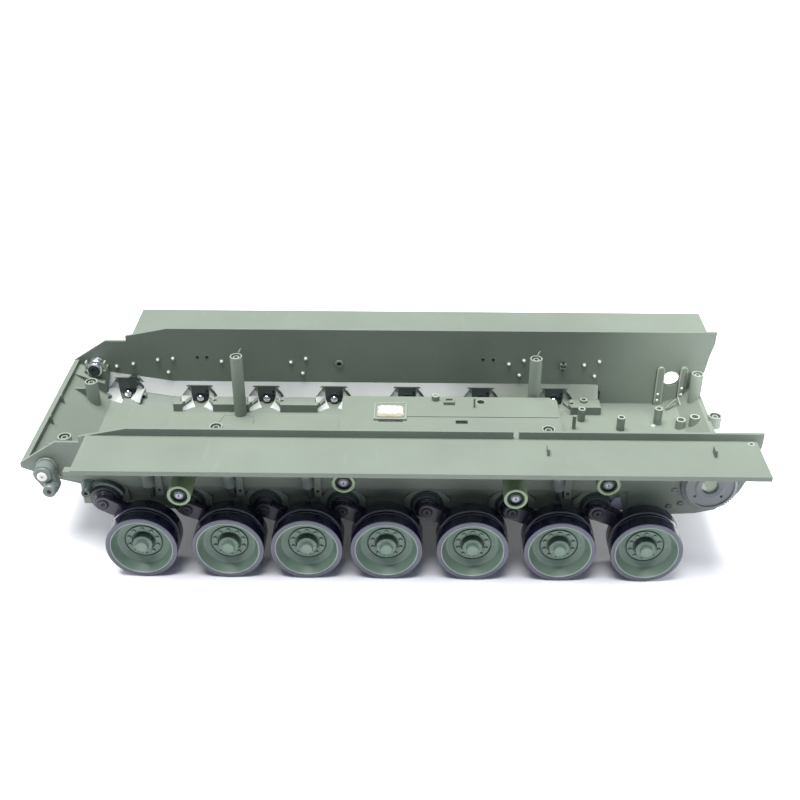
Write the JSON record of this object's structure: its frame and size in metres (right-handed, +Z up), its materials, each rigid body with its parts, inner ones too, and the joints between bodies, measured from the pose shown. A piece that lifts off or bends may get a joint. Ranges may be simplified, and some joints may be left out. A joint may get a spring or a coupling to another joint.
{
  "type": "tank chassis",
  "caption": "Radio-controlled scale tank's lower hull, open on top, with sprung road wheels on trailing arms and return rollers under side fenders.",
  "frame": {"origin": "on the ground, under the middle of the object's overall length and width", "axes": "-X the nose, +X the stern, +Y the vehicle's right side, +Z up"},
  "size_m": [0.455, 0.2074, 0.0888],
  "materials": {
    "hull_plastic": "moulded grey-green plastic, satin, faint draw marks",
    "adhesive_foam": "torn off-white foam, matt",
    "arm_plastic": "black moulded plastic, satin",
    "wheel_plastic": "dull green plastic, satin",
    "tyre_rubber": "black rubber, slight sheen, greyer on its outer wall",
    "roller_plastic": "green plastic, satin",
    "crank_plastic": "grey-green plastic, satin",
    "plated_steel": "bright plated steel",
    "flange_plastic": "grey-green plastic, satin",
    "dark_metal": "blackened steel screws, semi-gloss"
  },
  "bodies": {
    "hull": {"hull_tub": "hull_plastic", "foam_pad": "adhesive_foam", "drive_flange_left": "flange_plastic", "drive_flange_right": "flange_plastic"},
    "suspension_arm_left_1": {"arm_left_1": "arm_plastic"},
    "road_wheel_left_1": {"wheel_left_1": "wheel_plastic", "tyre_left_1": "tyre_rubber"},
    "suspension_arm_left_2": {"arm_left_2": "arm_plastic"},
    "road_wheel_left_2": {"wheel_left_2": "wheel_plastic", "tyre_left_2": "tyre_rubber"},
    "suspension_arm_left_3": {"arm_left_3": "arm_plastic"},
    "road_wheel_left_3": {"wheel_left_3": "wheel_plastic", "tyre_left_3": "tyre_rubber"},
    "suspension_arm_left_4": {"arm_left_4": "arm_plastic"},
    "road_wheel_left_4": {"wheel_left_4": "wheel_plastic", "tyre_left_4": "tyre_rubber"},
    "suspension_arm_left_5": {"arm_left_5": "arm_plastic"},
    "road_wheel_left_5": {"wheel_left_5": "wheel_plastic", "tyre_left_5": "tyre_rubber"},
    "suspension_arm_left_6": {"arm_left_6": "arm_plastic"},
    "road_wheel_left_6": {"wheel_left_6": "wheel_plastic", "tyre_left_6": "tyre_rubber"},
    "suspension_arm_left_7": {"arm_left_7": "arm_plastic"},
    "road_wheel_left_7": {"wheel_left_7": "wheel_plastic", "tyre_left_7": "tyre_rubber"},
    "return_roller_left_1": {"roller_left_1": "roller_plastic"},
    "return_roller_left_2": {"roller_left_2": "roller_plastic"},
    "return_roller_left_3": {"roller_left_3": "roller_plastic"},
    "return_roller_left_4": {"roller_left_4": "roller_plastic"},
    "idler_tensioner_left": {"idler_crank_left": "crank_plastic", "idler_shaft_left": "plated_steel"},
    "suspension_arm_right_1": {"arm_right_1": "arm_plastic"},
    "road_wheel_right_1": {"wheel_right_1": "wheel_plastic", "tyre_right_1": "tyre_rubber"},
    "suspension_arm_right_2": {"arm_right_2": "arm_plastic"},
    "road_wheel_right_2": {"wheel_right_2": "wheel_plastic", "tyre_right_2": "tyre_rubber"},
    "suspension_arm_right_3": {"arm_right_3": "arm_plastic"},
    "road_wheel_right_3": {"wheel_right_3": "wheel_plastic", "tyre_right_3": "tyre_rubber"},
    "suspension_arm_right_4": {"arm_right_4": "arm_plastic"},
    "road_wheel_right_4": {"wheel_right_4": "wheel_plastic", "tyre_right_4": "tyre_rubber"},
    "suspension_arm_right_5": {"arm_right_5": "arm_plastic"},
    "road_wheel_right_5": {"wheel_right_5": "wheel_plastic", "tyre_right_5": "tyre_rubber"},
    "suspension_arm_right_6": {"arm_right_6": "arm_plastic"},
    "road_wheel_right_6": {"wheel_right_6": "wheel_plastic", "tyre_right_6": "tyre_rubber"},
    "suspension_arm_right_7": {"arm_right_7": "arm_plastic"},
    "road_wheel_right_7": {"wheel_right_7": "wheel_plastic", "tyre_right_7": "tyre_rubber"},
    "return_roller_right_1": {"roller_right_1": "roller_plastic"},
    "return_roller_right_2": {"roller_right_2": "roller_plastic"},
    "return_roller_right_3": {"roller_right_3": "roller_plastic"},
    "return_roller_right_4": {"roller_right_4": "roller_plastic"},
    "idler_tensioner_right": {"idler_crank_right": "crank_plastic", "idler_shaft_right": "plated_steel"}
  },
  "joints": [
    {"name": "arm_swing_left_1", "type": "hinge", "parent": "hull", "child": "suspension_arm_left_1", "pos_m": [-0.17725, -0.0718, 0.0375], "axis": [0, -1, 0], "range_deg": [0, 12], "stiffness_Nm_per_rad": 0.15, "springref_deg": -11.46},
    {"name": "wheel_spin_left_1", "type": "hinge", "parent": "suspension_arm_left_1", "child": "road_wheel_left_1", "pos_m": [-0.15025, -0.0874, 0.02215], "axis": [0, 1, 0], "continuous": true},
    {"name": "arm_swing_left_2", "type": "hinge", "parent": "hull", "child": "suspension_arm_left_2", "pos_m": [-0.1251, -0.0718, 0.034], "axis": [0, -1, 0], "range_deg": [0, 12], "stiffness_Nm_per_rad": 0.15, "springref_deg": -11.46},
    {"name": "wheel_spin_left_2", "type": "hinge", "parent": "suspension_arm_left_2", "child": "road_wheel_left_2", "pos_m": [-0.0971, -0.0874, 0.02215], "axis": [0, 1, 0], "continuous": true},
    {"name": "arm_swing_left_3", "type": "hinge", "parent": "hull", "child": "suspension_arm_left_3", "pos_m": [-0.0769, -0.0718, 0.034], "axis": [0, -1, 0], "range_deg": [0, 12], "stiffness_Nm_per_rad": 0.15, "springref_deg": -11.46},
    {"name": "wheel_spin_left_3", "type": "hinge", "parent": "suspension_arm_left_3", "child": "road_wheel_left_3", "pos_m": [-0.0489, -0.0874, 0.02215], "axis": [0, 1, 0], "continuous": true},
    {"name": "arm_swing_left_4", "type": "hinge", "parent": "hull", "child": "suspension_arm_left_4", "pos_m": [-0.028, -0.0718, 0.034], "axis": [0, -1, 0], "range_deg": [0, 12], "stiffness_Nm_per_rad": 0.15, "springref_deg": -11.46},
    {"name": "wheel_spin_left_4", "type": "hinge", "parent": "suspension_arm_left_4", "child": "road_wheel_left_4", "pos_m": [0, -0.0874, 0.02215], "axis": [0, 1, 0], "continuous": true},
    {"name": "arm_swing_left_5", "type": "hinge", "parent": "hull", "child": "suspension_arm_left_5", "pos_m": [0.0247, -0.0718, 0.034], "axis": [0, -1, 0], "range_deg": [0, 12], "stiffness_Nm_per_rad": 0.15, "springref_deg": -11.46},
    {"name": "wheel_spin_left_5", "type": "hinge", "parent": "suspension_arm_left_5", "child": "road_wheel_left_5", "pos_m": [0.0527, -0.0874, 0.02215], "axis": [0, 1, 0], "continuous": true},
    {"name": "arm_swing_left_6", "type": "hinge", "parent": "hull", "child": "suspension_arm_left_6", "pos_m": [0.0779, -0.0718, 0.034], "axis": [0, -1, 0], "range_deg": [0, 12], "stiffness_Nm_per_rad": 0.15, "springref_deg": -11.46},
    {"name": "wheel_spin_left_6", "type": "hinge", "parent": "suspension_arm_left_6", "child": "road_wheel_left_6", "pos_m": [0.1059, -0.0874, 0.02215], "axis": [0, 1, 0], "continuous": true},
    {"name": "arm_swing_left_7", "type": "hinge", "parent": "hull", "child": "suspension_arm_left_7", "pos_m": [0.13075, -0.0718, 0.034], "axis": [0, -1, 0], "range_deg": [0, 12], "stiffness_Nm_per_rad": 0.15, "springref_deg": -11.46},
    {"name": "wheel_spin_left_7", "type": "hinge", "parent": "suspension_arm_left_7", "child": "road_wheel_left_7", "pos_m": [0.15875, -0.0874, 0.02215], "axis": [0, 1, 0], "continuous": true},
    {"name": "roller_spin_left_1", "type": "hinge", "parent": "hull", "child": "return_roller_left_1", "pos_m": [-0.124, -0.085, 0.06], "axis": [0, 1, 0], "continuous": true},
    {"name": "roller_spin_left_2", "type": "hinge", "parent": "hull", "child": "return_roller_left_2", "pos_m": [-0.0263, -0.07525, 0.06], "axis": [0, 1, 0], "continuous": true},
    {"name": "roller_spin_left_3", "type": "hinge", "parent": "hull", "child": "return_roller_left_3", "pos_m": [0.0773, -0.085, 0.06], "axis": [0, 1, 0], "continuous": true},
    {"name": "roller_spin_left_4", "type": "hinge", "parent": "hull", "child": "return_roller_left_4", "pos_m": [0.1345, -0.07525, 0.06], "axis": [0, 1, 0], "continuous": true},
    {"name": "idler_crank_left", "type": "hinge", "parent": "hull", "child": "idler_tensioner_left", "pos_m": [-0.2108, -0.066, 0.0608], "axis": [0, -1, 0], "range_deg": [-20, 40]},
    {"name": "arm_swing_right_1", "type": "hinge", "parent": "hull", "child": "suspension_arm_right_1", "pos_m": [-0.19125, 0.0718, 0.0375], "axis": [0, -1, 0], "range_deg": [0, 12], "stiffness_Nm_per_rad": 0.15, "springref_deg": -11.46},
    {"name": "wheel_spin_right_1", "type": "hinge", "parent": "suspension_arm_right_1", "child": "road_wheel_right_1", "pos_m": [-0.16425, 0.0874, 0.02215], "axis": [0, 1, 0], "continuous": true},
    {"name": "arm_swing_right_2", "type": "hinge", "parent": "hull", "child": "suspension_arm_right_2", "pos_m": [-0.1391, 0.0718, 0.034], "axis": [0, -1, 0], "range_deg": [0, 12], "stiffness_Nm_per_rad": 0.15, "springref_deg": -11.46},
    {"name": "wheel_spin_right_2", "type": "hinge", "parent": "suspension_arm_right_2", "child": "road_wheel_right_2", "pos_m": [-0.1111, 0.0874, 0.02215], "axis": [0, 1, 0], "continuous": true},
    {"name": "arm_swing_right_3", "type": "hinge", "parent": "hull", "child": "suspension_arm_right_3", "pos_m": [-0.0909, 0.0718, 0.034], "axis": [0, -1, 0], "range_deg": [0, 12], "stiffness_Nm_per_rad": 0.15, "springref_deg": -11.46},
    {"name": "wheel_spin_right_3", "type": "hinge", "parent": "suspension_arm_right_3", "child": "road_wheel_right_3", "pos_m": [-0.0629, 0.0874, 0.02215], "axis": [0, 1, 0], "continuous": true},
    {"name": "arm_swing_right_4", "type": "hinge", "parent": "hull", "child": "suspension_arm_right_4", "pos_m": [-0.042, 0.0718, 0.034], "axis": [0, -1, 0], "range_deg": [0, 12], "stiffness_Nm_per_rad": 0.15, "springref_deg": -11.46},
    {"name": "wheel_spin_right_4", "type": "hinge", "parent": "suspension_arm_right_4", "child": "road_wheel_right_4", "pos_m": [-0.014, 0.0874, 0.02215], "axis": [0, 1, 0], "continuous": true},
    {"name": "arm_swing_right_5", "type": "hinge", "parent": "hull", "child": "suspension_arm_right_5", "pos_m": [0.0107, 0.0718, 0.034], "axis": [0, -1, 0], "range_deg": [0, 12], "stiffness_Nm_per_rad": 0.15, "springref_deg": -11.46},
    {"name": "wheel_spin_right_5", "type": "hinge", "parent": "suspension_arm_right_5", "child": "road_wheel_right_5", "pos_m": [0.0387, 0.0874, 0.02215], "axis": [0, 1, 0], "continuous": true},
    {"name": "arm_swing_right_6", "type": "hinge", "parent": "hull", "child": "suspension_arm_right_6", "pos_m": [0.0639, 0.0718, 0.034], "axis": [0, -1, 0], "range_deg": [0, 12], "stiffness_Nm_per_rad": 0.15, "springref_deg": -11.46},
    {"name": "wheel_spin_right_6", "type": "hinge", "parent": "suspension_arm_right_6", "child": "road_wheel_right_6", "pos_m": [0.0919, 0.0874, 0.02215], "axis": [0, 1, 0], "continuous": true},
    {"name": "arm_swing_right_7", "type": "hinge", "parent": "hull", "child": "suspension_arm_right_7", "pos_m": [0.11675, 0.0718, 0.034], "axis": [0, -1, 0], "range_deg": [0, 12], "stiffness_Nm_per_rad": 0.15, "springref_deg": -11.46},
    {"name": "wheel_spin_right_7", "type": "hinge", "parent": "suspension_arm_right_7", "child": "road_wheel_right_7", "pos_m": [0.14475, 0.0874, 0.02215], "axis": [0, 1, 0], "continuous": true},
    {"name": "roller_spin_right_1", "type": "hinge", "parent": "hull", "child": "return_roller_right_1", "pos_m": [-0.1617, 0.085, 0.06], "axis": [0, 1, 0], "continuous": true},
    {"name": "roller_spin_right_2", "type": "hinge", "parent": "hull", "child": "return_roller_right_2", "pos_m": [-0.066, 0.07525, 0.06], "axis": [0, 1, 0], "continuous": true},
    {"name": "roller_spin_right_3", "type": "hinge", "parent": "hull", "child": "return_roller_right_3", "pos_m": [0.0894, 0.085, 0.06], "axis": [0, 1, 0], "continuous": true},
    {"name": "roller_spin_right_4", "type": "hinge", "parent": "hull", "child": "return_roller_right_4", "pos_m": [0.143, 0.07525, 0.06], "axis": [0, 1, 0], "continuous": true},
    {"name": "idler_crank_right", "type": "hinge", "parent": "hull", "child": "idler_tensioner_right", "pos_m": [-0.2108, 0.066, 0.0608], "axis": [0, -1, 0], "range_deg": [-20, 40]}
  ]
}
